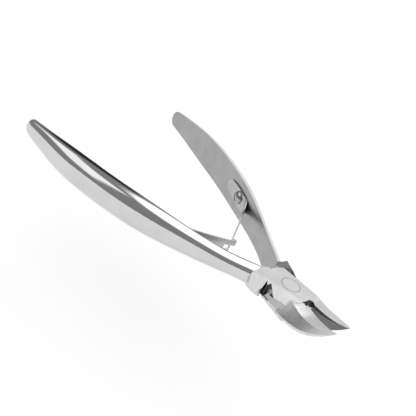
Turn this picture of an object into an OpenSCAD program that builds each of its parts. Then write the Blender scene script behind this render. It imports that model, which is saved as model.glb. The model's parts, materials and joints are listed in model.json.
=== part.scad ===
// Plier-type nail nipper: two crossed levers on a flush pivot rivet, pointed jaws,
// bowed handles and a pair of interlocking leaf springs.
// The rest pose is the tool lying open. +X points to the jaw tips, +Z is the pivot axis,
// and the origin is on the pivot axis at the back face of the lap joint.

/* [Node] */

/* [Head] */
// Height of the head's front face above the lap plane, mm
head_front = 4.6; // [3.5:0.1:6]
// Depth of the head's back face below the lap plane, mm
head_back = 4; // [3.5:0.1:6]
// Radius of the lap joint's round boss towards the jaws, mm
boss_radius = 7; // [6:0.1:9]
// Radius of the boss towards the handles, mm
boss_rear_radius = 7.7; // [6:0.1:9]
// Distance from the pivot axis to the flat on the boss, mm
boss_flat = 6.5; // [5:0.1:7]
// Turn of the boss flat about the pivot axis, degrees
boss_flat_turn = 16.9; // [0:0.1:30]
// Radial gap between a boss and the other lever's wall, mm
boss_gap = 0.2; // [0.1:0.02:0.5]
// Wider radial gap in front of the boss, mm
front_gap = 0.5; // [0.2:0.05:1]
// Gap between a boss flat and the other lever's stop face at rest, mm
stop_gap = 0.08; // [0.05:0.01:0.3]
// Turn of one lever against the other from rest to shut, degrees
closing_turn = 16; // [10:1:20]
// Radius that the boss reaches beside its own shoulder, mm
boss_root_radius = 8.3; // [7.8:0.1:9]
// Gap between the two lap faces at the middle of the head, mm
lap_gap = 0.06; // [0.02:0.01:0.2]
// Slope of the handle-side bevel, measured from the flat front face, degrees
bevel_slope = 45; // [30:1:60]
// Slope of the shoulders' undersides, degrees
under_slope = 31; // [25:1:60]
// Turn of the handle-side bevel about the pivot axis, degrees
bevel_turn = 22; // [0:1:40]
// Distance from the pivot axis to the handle-side bevel's upper edge, mm
bevel_distance = 3.95; // [3:0.1:6]
// Half of the opening angle between the two levers at rest, degrees
half_open = 8.2; // [5:0.1:12]

/* [Pivot] */
// Radius of the pivot rivet, mm
rivet_radius = 3; // [2:0.1:4]
// Radial running clearance of the rivet in the back lever, mm
rivet_clearance = 0.03; // [0.01:0.01:0.1]

/* [Handle] */
// Handle length along X from the pivot to its end, mm
handle_reach = 97; // [80:1:120]
// Half of the handles' inner spacing at their ends, mm
end_spread = 33; // [20:1:45]
// Handle width at its waist beside the head, mm
waist_width = 8.2; // [6:0.1:12]
// Handle width at its widest, mm
palm_width = 12.1; // [8:0.1:16]
// Handle width at its blunt end, mm
end_width = 4.4; // [3:0.1:9]
// Handle depth at its slimmest, mm
handle_depth = 2.9; // [2.5:0.1:6]
// Extra depth in the palm, mm
palm_depth = 1.7; // [0:0.1:3]
// Extra depth where the handle flares into the head, mm
root_flare = 0.2; // [0:0.1:3]
// How far the handle ends drop towards the back face, mm
end_droop = 0.9; // [0:0.1:3]

// Width of the front lever's handle as a share of the back lever's
front_handle_share = 0.95; // [0.85:0.01:1]
// Depth taken off the back edge of the front lever's waist, mm
front_waist_cut = 0.9; // [0:0.1:2]

/* [Jaws] */
// Distance from the pivot axis to the jaw tips, mm
jaw_reach = 21.5; // [16:0.5:28]
// How far the tips rise above the middle of the head, mm
tip_rise = 6.1; // [4:0.1:8]
// Jaw half width at its front edge beside the head, mm
jaw_front_width = 4.8; // [3:0.1:7]
// Jaw half width at the middle of its thickness beside the head, mm
jaw_middle_width = 8; // [5:0.1:10]
// Depth of the hollow behind each cutting edge, mm
jaw_hollow = 1.6; // [0.5:0.1:3]

/* [Springs] */
// Thickness of the leaf springs, mm
leaf_thickness = 0.5; // [0.3:0.05:1]
// Width of the leaf springs at their screws, mm
leaf_width = 5.4; // [4:0.1:8]
// Width of the back leaf's tongue, mm
tongue_width = 1.3; // [0.8:0.1:2.5]
// Width of the front leaf at its slotted end, mm
slot_end_width = 5.8; // [4:0.1:8]
// X position of the spring screws, mm
screw_x = -44.3; // [-60:0.5:-35]
// Radius of the screw heads, mm
screw_head_radius = 2.35; // [1.5:0.1:3]
// Height of the screw heads, mm
screw_head_height = 1.6; // [0.8:0.1:2]

/* [Hidden] */
$fn = 96;
tiny = 0.01;
// Reach of the cutting blocks past the metal
beyond = 20;
bore_fit = 0.1;
edge_step = 0.04;
pivot_lift = head_back;
head_depth = head_front + head_back;
steel = [0.76, 0.77, 0.78];
steel_dark = [0.60, 0.61, 0.63];
screw_colour = [0.70, 0.68, 0.64];
spring_colour = [0.68, 0.69, 0.70];

// ---- handle ----
// Inner face of the upper handle in plan: a cubic curve from the head to the blunt end.
handle_start = [-9, 3.4];
handle_pull_start = [-30, 18];
handle_pull_end = [-62, 32.5];
handle_end = [-handle_reach, end_spread];
handle_stations = 44;
arc_steps = 18;

function curve(t) = pow(1 - t, 3) * handle_start + 3 * pow(1 - t, 2) * t * handle_pull_start
    + 3 * (1 - t) * t * t * handle_pull_end + t * t * t * handle_end;
function curve_slope(t) = 3 * pow(1 - t, 2) * (handle_pull_start - handle_start)
    + 6 * (1 - t) * t * (handle_pull_end - handle_pull_start)
    + 3 * t * t * (handle_end - handle_pull_end);
function unit(v) = v / norm(v);
// Outward direction of the upper handle: away from the other handle.
function outward(t) = let(d = unit(curve_slope(t))) [-d[1], d[0]] * -1;
function smooth(a, b, t) = let(u = min(1, max(0, (t - a) / (b - a)))) u * u * (3 - 2 * u);
// Rounds the last few millimetres of the handle in plan and in depth.
function end_round(t) = let(u = max(0, (t - 0.965) / 0.035)) pow(max(0.02, 1 - u * u * u), 0.4);
function handle_width(t) = (waist_width + (head_depth - waist_width) * (1 - smooth(0, 0.16, t))
    + (palm_width - waist_width) * smooth(0.14, 0.52, t)
    - (palm_width - end_width) * pow(smooth(0.62, 1.12, t), 1.6)) * end_round(t);
function handle_thickness(t) = (handle_depth + palm_depth * smooth(0.2, 0.55, t)
    - (palm_depth + 0.5) * smooth(0.75, 1, t) + root_flare * exp(-t * 22)) * end_round(t);
function handle_middle(t) = 0.3 * (1 - t) - end_droop * t;
// One D-shaped section: a flat inner face and a full round outer side.
function section(t, side) = let(p = curve(t), n = outward(t),
    w = handle_width(t) / 2 * (side > 0 ? 1 : 1 - (1 - front_handle_share) * smooth(0, 0.12, t)),
    d = handle_thickness(t), z = handle_middle(t),
    root = exp(-t * 9), pinch = side > 0 ? 0 : front_waist_cut * exp(-pow((t - 0.06) / 0.09, 2)))
    [for (i = [0 : arc_steps]) let(a = 180 * i / arc_steps,
        q = p + n * d * pow(sin(a), 0.95 + (a > 90 ? 0.6 * root : 0)))
        [q[0], side * q[1], z + w * sign(cos(a)) * pow(abs(cos(a)), 0.9) + (a > 90 ? -pinch * cos(a) : 0)]];
function station(i) = let(u = i / handle_stations) u < 0.85 ? u * 0.965 / 0.85
    : 0.965 + 0.035 * sin((u - 0.85) / 0.15 * 90);
function ring_faces(rows, cols) = [for (i = [0 : rows - 2]) for (j = [0 : cols - 1])
    let(a = i * cols + j, b = i * cols + (j + 1) % cols) each [[a, b, b + cols], [a, b + cols, a + cols]]];
function flip(faces) = [for (f = faces) [for (k = [len(f) - 1 : -1 : 0]) f[k]]];

module loft(rows, reverse = false) {
    cols = len(rows[0]);
    count = len(rows);
    faces = concat(ring_faces(count, cols), [[for (j = [cols - 1 : -1 : 0]) j]],
        [[for (j = [0 : cols - 1]) (count - 1) * cols + j]]);
    polyhedron(points = [for (r = rows) each r], faces = reverse ? flip(faces) : faces);
}

// side is 1 for the upper handle and -1 for the lower one
module handle(side) {
    loft([for (i = [0 : handle_stations]) section(station(i), side)], reverse = side > 0);
}

// ---- jaw, drawn shut along +X on the side that y = side * positive ----
jaw_start = 5;
jaw_stations = 22;
function jaw_x(u) = jaw_start + (jaw_reach - jaw_start) * u;
function taper(u, power) = pow(max(0.006, 1 - pow(u, power)), 0.62);
jaw_floor = 4.0;
function front_face(u) = jaw_floor + (head_front - 0.02 - jaw_floor) * (1 - smooth(0.05, 0.5, u))
    + pow(u, 4.2) * (tip_rise - jaw_floor);
// Height of the hollow inner face's lower edge
function jaw_heel(u) = -head_back + (head_back + 0.6) * smooth(0, 0.3, u) + pow(u, 2.9) * (tip_rise - 0.6);
function jaw_section(u, side) = let(x = jaw_x(u), thin = taper(u, 1.9), top = front_face(u),
    tilt = 0.3 * thin * smooth(0.05, 0.4, u), hollow = jaw_hollow * thin, heel = jaw_heel(u),
    ridge = jaw_front_width * taper(u, 2.6),
    middle = ridge + (jaw_middle_width - jaw_front_width) * pow(1 - u, 1.3),
    bottom = -head_back + (tip_rise + head_back) * pow(u, 2.5), body = top - bottom)
    [for (p = [[0.02, top + tilt], [0.02, top - 0.1 * body - 0.02], [hollow * 0.75, (top + heel) / 2],
        [hollow, heel - 0.01], [hollow + 0.05 + (ridge * 0.62 - hollow) * (1 - u), bottom - 0.02],
        [middle + 0.03, bottom + 0.5 * body * (1 - 0.2 * u)], [ridge + 0.03, top - tilt]])
        [x, side * p[0], p[1]]];

module jaw(side) {
    rotate([0, 0, side * half_open])
        loft([for (i = [0 : jaw_stations]) jaw_section(i / jaw_stations, side)], reverse = side > 0);
}

// ---- head ----
jaw_bevel_slope = 53;
jaw_under_slope = 40.5;
jaw_under_distance = 2.5;
shoulder_under_distance = 3.4;
bevel_start = -14;
// Everything beyond the bevel plane on one side: a tilted block with its near face on the plane.
module bevel_block(side, turn, distance, slope, height) {
    rotate([0, 0, side * turn])
        translate([0, side * distance, height])
            rotate([side * -slope, 0, 0])
                translate([bevel_start, side > 0 ? -beyond : -2 * beyond, 0])
                    cube([3 * beyond, 3 * beyond, beyond]);
}

module front_bevel(side, turn, distance, slope) {
    bevel_block(side, turn, distance, slope, head_front);
}

module back_bevel(side, turn, distance, slope) {
    mirror([0, 0, 1])
        bevel_block(side, turn, distance, slope, head_back);
}

module tall_cylinder(radius, sides = $fn) {
    translate([0, 0, -head_back])
        cylinder(r = radius, h = head_depth, $fn = sides);
}

// Full-thickness plate cut to a plan outline drawn for the upper side
module plate(outline, side) {
    translate([0, 0, -head_back])
        linear_extrude(head_depth)
            scale([1, side])
                polygon(outline);
}

shoulder_outline = [[-9.6, 3.9], [-8.5, 1.55], [-5.5, 1.5], [-4.4, 6.2], [-3.75, 8.3], [-3.9, 9.5],
    [-4.6, 10.6], [-5.6, 11], [-7.4, 10.2], [-8.9, 8.9], [-9, 6]];
jaw_root_outline = [[2, 1.5], [7.2, 1.4], [6.8, 4.5], [5.4, 6.8], [3.6, 8.35], [-1.9, 9.1], [-2.2, 7.65],
    [0, 3]];
// Clearance wedge beside the boss flat, cut into the other lever's jaw root
wedge_outline = [[0.8, 6.2], [0.8, 6.55], [4.9, 6.95], [4.7, 5.2]];
throat_radius = 1.1;
throat_x = 8.1;
throat_y = 0.9;

// The half of the head that a lever keeps is in front of or behind the lap plane.
module half_space(front) {
    translate([-1.5 * beyond, -1.5 * beyond, front ? lap_gap / 2 : -beyond])
        cube([3 * beyond, 3 * beyond, beyond - lap_gap / 2]);
}

boss_root_end = 0.5;
boss_facets = 90;
// Plan of the boss, with the flat beside its own shoulder that stops the levers' opening
module boss_outline(side, gap) {
    difference() {
        union() {
            circle(r = boss_radius + gap, $fn = boss_facets);
            intersection() {
                circle(r = boss_root_radius + gap, $fn = boss_facets);
                scale([1, side])
                    polygon([[-6, 0], [-6, 9], [boss_root_end, 9], [boss_root_end, 0]]);
            }
        }
        rotate(side * boss_flat_turn)
            translate([-12, side > 0 ? boss_flat + gap : -boss_flat - gap - 6])
                square([30, 6]);
    }
}

// The half-thickness boss
module boss(handle_side, front) {
    intersection() {
        difference() {
            union() {
                translate([0, 0, -head_back])
                    linear_extrude(head_depth)
                        boss_outline(handle_side, 0);
                intersection() {
                    tall_cylinder(boss_rear_radius);
                    plate([[0, 0], [-3.4, 6.8], [-14, 12], [-14, -12], [-1.2, -12]], handle_side);
                }
            }
            front_bevel(handle_side, -bevel_turn, bevel_distance, bevel_slope);
            back_bevel(handle_side, -bevel_turn, bevel_distance, bevel_slope);
            front_bevel(-handle_side, half_open, jaw_front_width - edge_step, jaw_bevel_slope);
            back_bevel(-handle_side, half_open, bevel_distance, bevel_slope);
        }
        half_space(front);
    }
}

// Room for the other lever's boss behind or in front of the lap plane
module lap_cut(front, radius) {
    translate([0, 0, front ? -beyond : -lap_gap / 2])
        cylinder(r = radius, h = beyond + lap_gap / 2);
}

module handle_half(side, front) {
    difference() {
        union() {
            handle(side);
            difference() {
                plate(shoulder_outline, side);
                back_bevel(side, 0, shoulder_under_distance, under_slope);
            }
        }
        front_bevel(side, -bevel_turn, bevel_distance, bevel_slope);
        lap_cut(front, boss_rear_radius + boss_gap);
    }
}

module jaw_half(side, front) {
    difference() {
        union() {
            difference() {
                plate(jaw_root_outline, side);
                front_bevel(side, half_open, jaw_front_width - edge_step, jaw_bevel_slope);
                back_bevel(side, half_open, jaw_under_distance, jaw_under_slope);
            }
            jaw(side);
        }
        translate([0, 0, front ? -beyond : -lap_gap / 2])
            linear_extrude(beyond + lap_gap / 2)
                for (turn = [0, closing_turn])
                    rotate(side * turn)
                        boss_outline(side, stop_gap);
        intersection() {
            translate([front_gap - boss_gap, 0, 0])
                lap_cut(front, boss_radius + boss_gap);
            translate([2, -beyond, -beyond])
                cube(2 * beyond);
        }
        intersection() {
            plate(wedge_outline, side);
            half_space(!front);
        }
        translate([throat_x, side * throat_y, -beyond])
            cylinder(r = throat_radius, h = 2 * beyond, $fn = 48);
    }
}

// handle_side is the side of Y that the handle is on; front tells which lap half it keeps
module lever(handle_side, front, bore) {
    translate([0, 0, pivot_lift])
        difference() {
            union() {
                handle_half(handle_side, front);
                jaw_half(-handle_side, front);
                boss(handle_side, front);
            }
            translate([0, 0, -beyond])
                cylinder(r = bore, h = 2 * beyond);
            screw_seat(handle_side);
        }
}

// ---- leaf springs, drawn for the upper handle; side = -1 mirrors one to the lower handle ----
leaf_stations = 30;
handle_gap = 0.05;
// Where along the handle's inner curve a given X lies
function curve_at(x, low = 0, high = 1, n = 24) = let(mid = (low + high) / 2)
    n == 0 ? mid : curve(mid)[0] > x ? curve_at(x, mid, high, n - 1) : curve_at(x, low, mid, n - 1);
function on_handle(x, lift) = let(t = curve_at(x)) curve(t) - outward(t) * lift;
function quad(a, b, c, t) = pow(1 - t, 2) * a + 2 * (1 - t) * t * b + t * t * c;

leaf_lift = handle_gap + leaf_thickness / 2;
leaf_bend = [screw_x + 4.5, on_handle(screw_x + 4.5, leaf_lift)[1]];
leaf_foot = [screw_x - 8.8, on_handle(screw_x - 8.8, leaf_lift)[1]];
back_leaf_knee = [-36.3, 17];
back_leaf_tip = [-23.2, -3.6];
front_leaf_knee = [-31.5, 15.2];
front_leaf_tip = [-22.9, 2.3];
curl_radius = 0.75;

// The leaf's middle line in plan: flat on the handle up to the bend, then free.
function leaf_path(knee, tip) = concat(
    [for (i = [0 : 9]) on_handle(leaf_foot[0] + (leaf_bend[0] - leaf_foot[0]) * i / 10, leaf_lift)],
    [for (i = [0 : leaf_stations - 10]) quad(leaf_bend, knee, tip, i / (leaf_stations - 10))]);
function path_normal(path, i) = let(a = path[max(0, i - 1)], b = path[min(len(path) - 1, i + 1)],
    d = unit(b - a)) [d[1], -d[0]];
function leaf_rows(path, widths, side) = [for (i = [0 : len(path) - 1])
    let(n = path_normal(path, i) * leaf_thickness / 2, w = widths[i] / 2, p = path[i])
    [[p[0] + n[0], side * (p[1] + n[1]), w], [p[0] + n[0], side * (p[1] + n[1]), -w],
        [p[0] - n[0], side * (p[1] - n[1]), -w], [p[0] - n[0], side * (p[1] - n[1]), w]]];
function foot_round(i) = 0.45 + 0.55 * sqrt(1 - pow(max(0, 6 - i) / 6, 2));
back_widths = [for (i = [0 : leaf_stations])
    let(u = i / leaf_stations) i < 6 ? leaf_width * foot_round(i)
        : leaf_width - (leaf_width - tongue_width - 0.6) * smooth(0.30, 0.56, u) - 0.6 * smooth(0.5, 1, u)];
front_widths = [for (i = [0 : leaf_stations])
    let(u = i / leaf_stations) i < 6 ? leaf_width * foot_round(i)
        : leaf_width + (slot_end_width - leaf_width) * smooth(0.4, 1, u)];

module screw_hole(side) {
    t = curve_at(screw_x);
    p = on_handle(screw_x, 0);
    n = outward(t);
    translate([p[0], side * p[1], 0])
        rotate([0, 0, atan2(side * n[1], n[0])])
            rotate([0, 90, 0])
                translate([0, 0, -6])
                    cylinder(r = screw_shank_radius + bore_fit, h = 12, $fn = 48);
}

module back_leaf() {
    color(spring_colour)
        translate([0, 0, pivot_lift])
            difference() {
                loft(leaf_rows(leaf_path(back_leaf_knee, back_leaf_tip), back_widths, 1), reverse = true);
                screw_hole(1);
            }
}

slot_middle = [-23.95, -3.65];
slot_height = 0.15;
slot_turn = 55;
slot_length = 2.3;
slot_width = 1.8;
curl_bottom = 1.2;

module front_leaf() {
    color(spring_colour)
        translate([0, 0, pivot_lift])
            difference() {
                union() {
                    loft(leaf_rows(leaf_path(front_leaf_knee, front_leaf_tip), front_widths, -1));
                    translate([front_leaf_tip[0] - 0.35, -front_leaf_tip[1] + curl_radius * 0.4, curl_bottom])
                        cylinder(r = curl_radius, h = slot_end_width / 2 - curl_bottom, $fn = 32);
                }
                screw_hole(-1);
                // slot for the back leaf's tongue
                translate([slot_middle[0], slot_middle[1], slot_height])
                    rotate([0, 0, slot_turn])
                        cube([slot_length, 4, slot_width], center = true);
                // shoulder below the curl
                translate([front_leaf_tip[0] - 0.6, -front_leaf_tip[1] - 2, -slot_end_width])
                    cube([3, 4, slot_end_width + curl_bottom]);
            }
}

screw_shank_radius = 1.2;
screw_shank_length = 2.2;
// A domed, slotted screw standing on the inner face of a handle
module screw(side) {
    t = curve_at(screw_x);
    n = outward(t);
    seat = on_handle(screw_x, handle_gap * 2 + leaf_thickness);
    dome = (pow(screw_head_radius, 2) + pow(screw_head_height * 0.75, 2)) / (screw_head_height * 1.5);
    translate([seat[0], side * seat[1], pivot_lift])
        rotate([0, 0, atan2(-side * n[1], -n[0])])
            rotate([0, 90, 0])
                difference() {
                    union() {
                        translate([0, 0, -screw_shank_length])
                            cylinder(r = screw_shank_radius, h = screw_shank_length + tiny, $fn = 48);
                        intersection() {
                            cylinder(r = screw_head_radius, h = screw_head_height, $fn = 64);
                            translate([0, 0, screw_head_height - dome])
                                sphere(r = dome, $fn = 96);
                        }
                    }
                    rotate([0, 0, 35])
                        translate([-screw_head_radius, -0.25, screw_head_height - 0.55])
                            cube([screw_head_radius * 2, 0.5, 1]);
                }
}

module front_leaf_screw() {
    color(screw_colour)
        screw(-1);
}

module back_leaf_screw() {
    color(screw_colour)
        screw(1);
}

// Blind threaded hole for the leaf spring's screw, drawn plain
module screw_seat(side) {
    t = curve_at(screw_x);
    n = outward(t);
    mouth = on_handle(screw_x, 1);
    translate([mouth[0], side * mouth[1], 0])
        rotate([0, 0, atan2(side * n[1], n[0])])
            rotate([0, 90, 0])
                cylinder(r = screw_shank_radius + 0.05,
                    h = 1 + screw_shank_length - leaf_thickness + 0.3, $fn = 48);
}

module front_lever() {
    color(steel)
        lever(-1, true, rivet_radius);
}

module back_lever() {
    color(steel_dark)
        lever(1, false, rivet_radius + rivet_clearance);
}

module pivot_rivet() {
    color(screw_colour)
        cylinder(r = rivet_radius, h = head_depth);
}

front_lever();
back_lever();
pivot_rivet();
front_leaf();
back_leaf();
front_leaf_screw();
back_leaf_screw();
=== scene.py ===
"""Looks for the plier-type nail nipper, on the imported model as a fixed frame."""
import json
import math

import bmesh
import bpy
from mathutils import Matrix, Vector


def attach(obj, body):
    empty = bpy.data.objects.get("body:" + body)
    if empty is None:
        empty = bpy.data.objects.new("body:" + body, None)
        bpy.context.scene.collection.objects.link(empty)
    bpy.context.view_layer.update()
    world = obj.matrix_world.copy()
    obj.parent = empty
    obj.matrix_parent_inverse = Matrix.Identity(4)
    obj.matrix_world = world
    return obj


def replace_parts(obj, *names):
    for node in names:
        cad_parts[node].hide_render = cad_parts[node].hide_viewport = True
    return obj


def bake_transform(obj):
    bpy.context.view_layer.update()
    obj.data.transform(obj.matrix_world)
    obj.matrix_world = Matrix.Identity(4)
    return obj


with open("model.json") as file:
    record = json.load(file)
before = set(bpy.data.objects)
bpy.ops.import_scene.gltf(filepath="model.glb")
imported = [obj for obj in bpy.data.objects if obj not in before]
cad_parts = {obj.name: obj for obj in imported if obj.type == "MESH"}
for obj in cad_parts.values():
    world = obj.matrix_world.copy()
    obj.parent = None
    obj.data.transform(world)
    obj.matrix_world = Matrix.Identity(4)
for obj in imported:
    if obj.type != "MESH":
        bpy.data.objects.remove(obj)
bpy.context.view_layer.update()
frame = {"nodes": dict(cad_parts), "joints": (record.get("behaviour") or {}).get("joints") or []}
MM = 0.001
MICRON = 0.001 * MM
PIVOT_Z = 4 * MM
RIVET_RADIUS = 3 * MM

# Places on a lever, from the pivot axis along X or along the handle's side of Y, in mm
HEAD_START = -9.4
PLATEAU_START = -16
JAW_START = 8.5
THROAT = (8.1, 0.9)
THROAT_REACH = 1.35
SHOULDER_X = (-9.6, -2.4)
SHOULDER_Y = 2.5
SHOULDER_REACH = 6.5
WALL_REACH = (6.2, 8.6)
WALL_Y = 3
WALL_X = -2.4
NOTCH_X = (-5, -2.6)

# How far a face leans, as a part of its unit normal
UPRIGHT = 0.35
BEVEL_LIMIT = 0.97
FLAT = 0.995
INNER = 0.72
HOLLOW_LEAN = -0.6
TOWARD_AXIS = -0.5

# Smallest distance from the axis that a face direction is measured at, in mm
TINY = 0.001


# ---- nodes and materials ----
class Nodes:
    """Short calls for building a shader tree."""

    def __init__(self, tree):
        self.tree = tree
        tree.nodes.clear()

    def add(self, kind, **settings):
        node = self.tree.nodes.new(kind)
        for key, value in settings.items():
            setattr(node, key, value)
        return node

    def link(self, start, end):
        self.tree.links.new(start, end)

    def put(self, value, socket):
        if isinstance(value, (int, float, tuple, list)):
            socket.default_value = value
        else:
            self.link(value, socket)

    def math(self, operation, a, b=0.0):
        node = self.add("ShaderNodeMath", operation=operation)
        self.put(a, node.inputs[0])
        self.put(b, node.inputs[1])
        return node.outputs[0]

    def ramp(self, value, low, high, out_low=0.0, out_high=1.0):
        node = self.add("ShaderNodeMapRange", interpolation_type="SMOOTHSTEP")
        self.put(value, node.inputs["Value"])
        node.inputs["From Min"].default_value = low
        node.inputs["From Max"].default_value = high
        node.inputs["To Min"].default_value = out_low
        node.inputs["To Max"].default_value = out_high
        return node.outputs["Result"]

    def noise(self, vector, scale, detail=3.0, roughness=0.55):
        node = self.add("ShaderNodeTexNoise")
        self.put(vector, node.inputs["Vector"])
        node.inputs["Scale"].default_value = scale
        node.inputs["Detail"].default_value = detail
        node.inputs["Roughness"].default_value = roughness
        return node.outputs["Fac"]

    def stretched(self, vector, scale):
        node = self.add("ShaderNodeMapping")
        self.put(vector, node.inputs["Vector"])
        node.inputs["Scale"].default_value = scale
        return node.outputs["Vector"]


DRIFT_SCALE = 140.0
SMUDGE_SCALE = 420.0
EDGE_RADIUS = 0.08 * MM
EDGE_WEAR_AND_HIGHLIGHT_BEND = (0.995, 0.93)
RING_EDGE = (0.05 * MM, 0.24 * MM)
RING_TONE = 0.5


def steel(name, colour, rough, grain=(1.0, 1.0, 1.0), grain_scale=900.0, grain_depth=0.0,
          rough_spread=0.04, tone_spread=0.05, ring=None):
    """Steel with a directional ground grain, faint tone drift, and edges rougher from wear and brighter as
    a painted edge highlight.
    """
    material = bpy.data.materials.new(name)
    material.use_nodes = True
    n = Nodes(material.node_tree)
    out = n.add("ShaderNodeOutputMaterial")
    shader = n.add("ShaderNodeBsdfPrincipled")
    n.link(shader.outputs[0], out.inputs["Surface"])
    shader.inputs["Metallic"].default_value = 1.0
    place = n.add("ShaderNodeTexCoord").outputs["Object"]
    lines = n.noise(n.stretched(place, grain), grain_scale, 4.0)
    drift = n.noise(place, DRIFT_SCALE, 3.0)
    smudge = n.noise(place, SMUDGE_SCALE, 5.0)
    round_edge = n.add("ShaderNodeBevel", samples=4)
    round_edge.inputs["Radius"].default_value = EDGE_RADIUS
    geometry = n.add("ShaderNodeNewGeometry")
    bend = n.add("ShaderNodeVectorMath", operation="DOT_PRODUCT")
    n.link(round_edge.outputs[0], bend.inputs[0])
    n.link(geometry.outputs["Normal"], bend.inputs[1])
    wear_and_highlight = n.ramp(bend.outputs["Value"], *EDGE_WEAR_AND_HIGHLIGHT_BEND)
    tone = n.ramp(drift, 0.3, 0.7, 1.0 - tone_spread, 1.0 + tone_spread)
    lined = n.math("MULTIPLY", tone, n.ramp(lines, 0.25, 0.75, 0.97, 1.03))
    # Painted edge highlight, partly real wear: edges up to 6% brighter in colour; they also turn rougher
    # below
    lit = n.math("MULTIPLY", lined, n.ramp(wear_and_highlight, 0.0, 1.0, 1.0, 1.06))
    if ring:
        spot = n.add("ShaderNodeVectorMath", operation="MULTIPLY")
        n.put(place, spot.inputs[0])
        spot.inputs[1].default_value = (1.0, 1.0, 0.0)
        reach = n.add("ShaderNodeVectorMath", operation="LENGTH")
        n.link(spot.outputs[0], reach.inputs[0])
        off = n.math("ABSOLUTE", n.math("SUBTRACT", reach.outputs["Value"], ring))
        lit = n.math("MULTIPLY", lit, n.ramp(off, *RING_EDGE, RING_TONE, 1.0))
    shade = n.add("ShaderNodeVectorMath", operation="SCALE")
    shade.inputs[0].default_value = colour
    n.link(lit, shade.inputs["Scale"])
    n.link(shade.outputs[0], shader.inputs["Base Color"])
    rough_now = n.math("ADD", n.ramp(smudge, 0.3, 0.7, rough - rough_spread, rough + rough_spread),
                       n.ramp(wear_and_highlight, 0.0, 1.0, 0.0, 0.05))
    n.link(rough_now, shader.inputs["Roughness"])
    bump = n.add("ShaderNodeBump")
    bump.inputs["Strength"].default_value = 1.0
    bump.inputs["Distance"].default_value = grain_depth
    n.link(lines, bump.inputs["Height"])
    n.link(bump.outputs[0], shader.inputs["Normal"])
    return material


POLISH = steel("polished_steel", (0.62, 0.621, 0.623), 0.07, grain=(0.15, 1, 1), grain_scale=500,
               grain_depth=0.4 * MICRON, rough_spread=0.025, tone_spread=0.02)
SATIN = steel("satin_inner_steel", (0.37, 0.37, 0.374), 0.34, grain=(0.12, 1, 1), grain_scale=2600,
              grain_depth=4 * MICRON, rough_spread=0.05)
HEAD = steel("ground_head_steel", (0.60, 0.60, 0.605), 0.30, grain=(1, 0.12, 1), grain_scale=2200,
             grain_depth=4 * MICRON, rough_spread=0.05, ring=RIVET_RADIUS)
# Painted shade: a darker copy of the head steel for the head's sloped facets
FACET_SHADE = steel("bevel_facet_steel", (0.50, 0.50, 0.504), 0.32, grain=(1, 0.12, 1), grain_scale=2200,
              grain_depth=4 * MICRON, rough_spread=0.05)
JAW = steel("ground_jaw_steel", (0.54, 0.54, 0.544), 0.28, grain=(1, 0.15, 1), grain_scale=2400,
            grain_depth=4 * MICRON)
# Painted shade: a near-black copy of the head steel for the back lever's shoulder
SHOULDER_SHADE = steel("shaded_shoulder_steel", (0.18, 0.18, 0.182), 0.34, grain=(1, 0.12, 1),
                 grain_scale=2200, grain_depth=4 * MICRON)
# Painted shade: a dark steel for the jaw hollows
HOLLOW_SHADE = steel("dark_hollow_steel", (0.17, 0.17, 0.173), 0.40, grain=(1, 0.2, 1), grain_scale=2400,
               grain_depth=4 * MICRON)
# Painted shade: a near-black steel for the throat, the notch and the walls by the front boss
RECESS_SHADE = steel("dark_recess_steel", (0.10, 0.10, 0.10), 0.55, grain_scale=2000, grain_depth=2 * MICRON)
RIVET = steel("rivet_steel", (0.62, 0.62, 0.62), 0.30, grain_scale=1800, grain_depth=2 * MICRON,
              ring=RIVET_RADIUS)
SPRING = steel("spring_steel", (0.46, 0.46, 0.465), 0.28, grain=(0.15, 1, 0.6), grain_scale=2200,
               grain_depth=3 * MICRON)
SCREW = steel("screw_steel", (0.42, 0.415, 0.40), 0.14, grain_scale=1500, grain_depth=1 * MICRON)


# ---- meshes ----
WELD = 4 * MICRON
SLIVER = 2 * MICRON


def smooth_copy(node, name, sharp_degrees=26.0, head_degrees=13.0):
    """The CAD mesh of a node, welded and smooth-shaded with its real edges kept sharp."""
    source = frame["nodes"][node]
    mesh = source.data.copy()
    mesh.name = name
    mesh.materials.clear()
    bm = bmesh.new()
    bm.from_mesh(mesh)
    bmesh.ops.remove_doubles(bm, verts=bm.verts, dist=WELD)
    bmesh.ops.dissolve_degenerate(bm, edges=bm.edges, dist=SLIVER)
    for face in bm.faces:
        face.smooth = True
    for line in bm.edges:
        middle = (line.verts[0].co.x + line.verts[1].co.x) / 2
        limit = math.radians(head_degrees if middle > HEAD_START * MM else sharp_degrees)
        line.smooth = len(line.link_faces) == 2 and line.calc_face_angle(0.0) < limit
    bm.to_mesh(mesh)
    bm.free()
    if mesh.has_custom_normals:
        mesh.attributes.remove(mesh.attributes["custom_normal"])
    piece = bpy.data.objects.new(name, mesh)
    bpy.context.scene.collection.objects.link(piece)
    return piece


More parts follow.
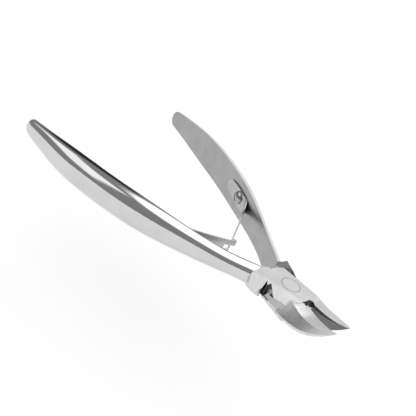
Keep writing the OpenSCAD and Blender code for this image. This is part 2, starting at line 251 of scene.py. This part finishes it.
def lever_part(face, side):
    """Which material a lever face takes; side is the Y side that the handle is on."""
    x, y = face.center.x / MM, face.center.y / MM * side
    lean = abs(face.normal.z)
    upright = lean < UPRIGHT
    inward = -face.normal.y * side
    reach = math.hypot(x, y)
    outward = (x * face.normal.x + y * face.normal.y * side) / max(reach, TINY)
    in_throat = math.hypot(x - THROAT[0], abs(y) - THROAT[1]) < THROAT_REACH
    by_boss = WALL_REACH[0] < reach < WALL_REACH[1] and abs(y) > WALL_Y
    # Painted shade: upright faces in the throat, by the front boss and in the notch are painted near black
    if upright and in_throat:
        return RECESS_SHADE
    if upright and by_boss and (outward < TOWARD_AXIS and x > WALL_X or NOTCH_X[0] < x < NOTCH_X[1]):
        return RECESS_SHADE
    # Painted shade: the jaw's hollow faces, picked by their lean, are painted dark
    if x > JAW_START:
        return HOLLOW_SHADE if inward < HOLLOW_LEAN else JAW
    # Painted shade: the back lever's shoulder is painted near black
    if side > 0 and SHOULDER_X[0] < x < SHOULDER_X[1] and y > SHOULDER_Y and reach > SHOULDER_REACH:
        return SHOULDER_SHADE
    # Painted shade: sloped faces on the head take the darker facet steel
    if x > HEAD_START and UPRIGHT < lean < BEVEL_LIMIT:
        return FACET_SHADE
    if x > HEAD_START or (lean > FLAT and x > PLATEAU_START):
        return HEAD
    if upright and inward > INNER:
        return SATIN
    return POLISH


def paint_lever(piece, side):
    """Polish outside the handle, satin inside it, ground steel on the head; painted shade in its recesses,
    on the jaw hollows, the back shoulder and the head's sloped facets.
    """
    steels = (POLISH, SATIN, HEAD, FACET_SHADE, JAW, SHOULDER_SHADE, HOLLOW_SHADE, RECESS_SHADE)
    for material in steels:
        piece.data.materials.append(material)
    for face in piece.data.polygons:
        face.material_index = steels.index(lever_part(face, side))


front = smooth_copy("front_lever", "front_lever_steel")
paint_lever(front, -1)
back = smooth_copy("back_lever", "back_lever_steel")
paint_lever(back, 1)
for piece, node, body in ((front, "front_lever", "front_body"), (back, "back_lever", "back_body")):
    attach(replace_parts(piece, node), body)

rivet = smooth_copy("pivot_rivet", "pivot_rivet_steel")
rivet.data.materials.append(RIVET)
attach(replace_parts(rivet, "pivot_rivet"), "front_body")

for node, body in (("front_leaf_screw", "front_body"), ("back_leaf_screw", "back_body")):
    piece = smooth_copy(node, node + "_steel", 30)
    piece.data.materials.append(SCREW)
    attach(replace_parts(piece, node), body)

for joint in frame["joints"]:
    if not joint["name"].endswith("_leaf_flex"):
        continue
    node = joint["name"].replace("_flex", "")
    piece = smooth_copy(node, node + "_spring", 30)
    piece.data.materials.append(SPRING)
    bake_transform(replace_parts(piece, node))


# ---- floor, light and camera ----
SOFT_BOX = (20, 58)
FLOOR_REACH = 3.0
FLOOR_Z = -45 * MM
FLOOR_TONE = 0.80

# The camera: azimuth, elevation and roll in degrees, then its distance and side shift from the pivot
CAMERA_TURN = (34.685, 30.551, 25.734)
CAMERA_DISTANCE = 217.382 * MM
CAMERA_SHIFT = (23.06 * MM, -26.551 * MM)
SENSOR_WIDTH = 36
FOCAL_LENGTH = 62.3073


def floor_material():
    material = bpy.data.materials.new("pale_floor")
    material.use_nodes = True
    n = Nodes(material.node_tree)
    out = n.add("ShaderNodeOutputMaterial")
    shader = n.add("ShaderNodeBsdfPrincipled")
    shader.inputs["Base Color"].default_value = (FLOOR_TONE, FLOOR_TONE, FLOOR_TONE, 1)
    shader.inputs["Roughness"].default_value = 0.9
    shader.inputs["Specular IOR Level"].default_value = 0.0
    n.link(shader.outputs[0], out.inputs["Surface"])
    return material


def floor():
    mesh = bpy.data.meshes.new("floor")
    corners = [(x * FLOOR_REACH, y * FLOOR_REACH, FLOOR_Z) for x, y in ((-1, -1), (1, -1), (1, 1), (-1, 1))]
    mesh.from_pydata(corners, [], [(0, 1, 2, 3)])
    mesh.materials.append(floor_material())
    plane = bpy.data.objects.new("floor", mesh)
    bpy.context.scene.collection.objects.link(plane)


def studio():
    """A broad overhead soft box, a lower panel beside it, a lit far wall, a dark corner, dim elsewhere.

    Each area is a soft-edged cone or half space around a direction, given as azimuth and elevation.
    """
    world = bpy.data.worlds.new("studio")
    bpy.context.scene.world = world
    world.use_nodes = True
    n = Nodes(world.node_tree)
    out = n.add("ShaderNodeOutputWorld")
    sky = n.add("ShaderNodeBackground")
    n.link(sky.outputs[0], out.inputs["Surface"])
    direction = n.add("ShaderNodeTexCoord").outputs["Generated"]

    def towards(azimuth, elevation, low, high, out_low, out_high):
        a, e = math.radians(azimuth), math.radians(elevation)
        dot = n.add("ShaderNodeVectorMath", operation="DOT_PRODUCT")
        n.put(direction, dot.inputs[0])
        dot.inputs[1].default_value = (math.cos(e) * math.cos(a), math.cos(e) * math.sin(a), math.sin(e))
        return n.ramp(dot.outputs["Value"], low, high, out_low, out_high)

    box = towards(*SOFT_BOX, 0.56, 0.70, 0.0, 1.75)
    far_wall = towards(120, 12, 0.80, 0.90, 0.30, 1.05)
    corner = towards(152, 42, 0.965, 0.985, 1.0, 0.12)
    above_lower_edge = towards(*SOFT_BOX, -0.06, 0.08, 0.0, 1.1)
    past_right_edge = towards(170, 0, 0.0, 0.1, 0.0, 1.0)
    past_left_edge = towards(-82, 0, 0.0, 0.1, 0.0, 1.0)
    below_top_edge = towards(0, 90, 0.79, 0.85, 1.0, 0.0)
    panel = n.math("MULTIPLY", above_lower_edge, past_right_edge)
    panel = n.math("MULTIPLY", panel, past_left_edge)
    panel = n.math("MULTIPLY", panel, below_top_edge)
    walls = n.math("MULTIPLY", n.math("ADD", far_wall, panel), corner)
    n.link(n.math("ADD", box, walls), sky.inputs["Strength"])
    sky.inputs["Color"].default_value = (1, 1, 1, 1)


def camera():
    data = bpy.data.cameras.new("camera")
    data.sensor_width = SENSOR_WIDTH
    data.lens = FOCAL_LENGTH
    data.clip_start = 0.005
    lens = bpy.data.objects.new("camera", data)
    azimuth, elevation, roll = (math.radians(v) for v in CAMERA_TURN)
    back = Vector((math.cos(elevation) * math.sin(azimuth), -math.cos(elevation) * math.cos(azimuth),
                   math.sin(elevation)))
    right = Vector((math.cos(azimuth), math.sin(azimuth), 0))
    up = back.cross(right)
    turned = right * math.cos(roll) + up * math.sin(roll)
    upright = up * math.cos(roll) - right * math.sin(roll)
    place = back * CAMERA_DISTANCE - turned * CAMERA_SHIFT[0] - upright * CAMERA_SHIFT[1]
    place += Vector((0, 0, PIVOT_Z))
    lens.matrix_world = Matrix.Translation(place) @ Matrix((turned, upright, back)).transposed().to_4x4()
    bpy.context.scene.collection.objects.link(lens)
    bpy.context.scene.camera = lens


floor()
studio()
camera()
bpy.context.scene.view_settings.view_transform = "Standard"
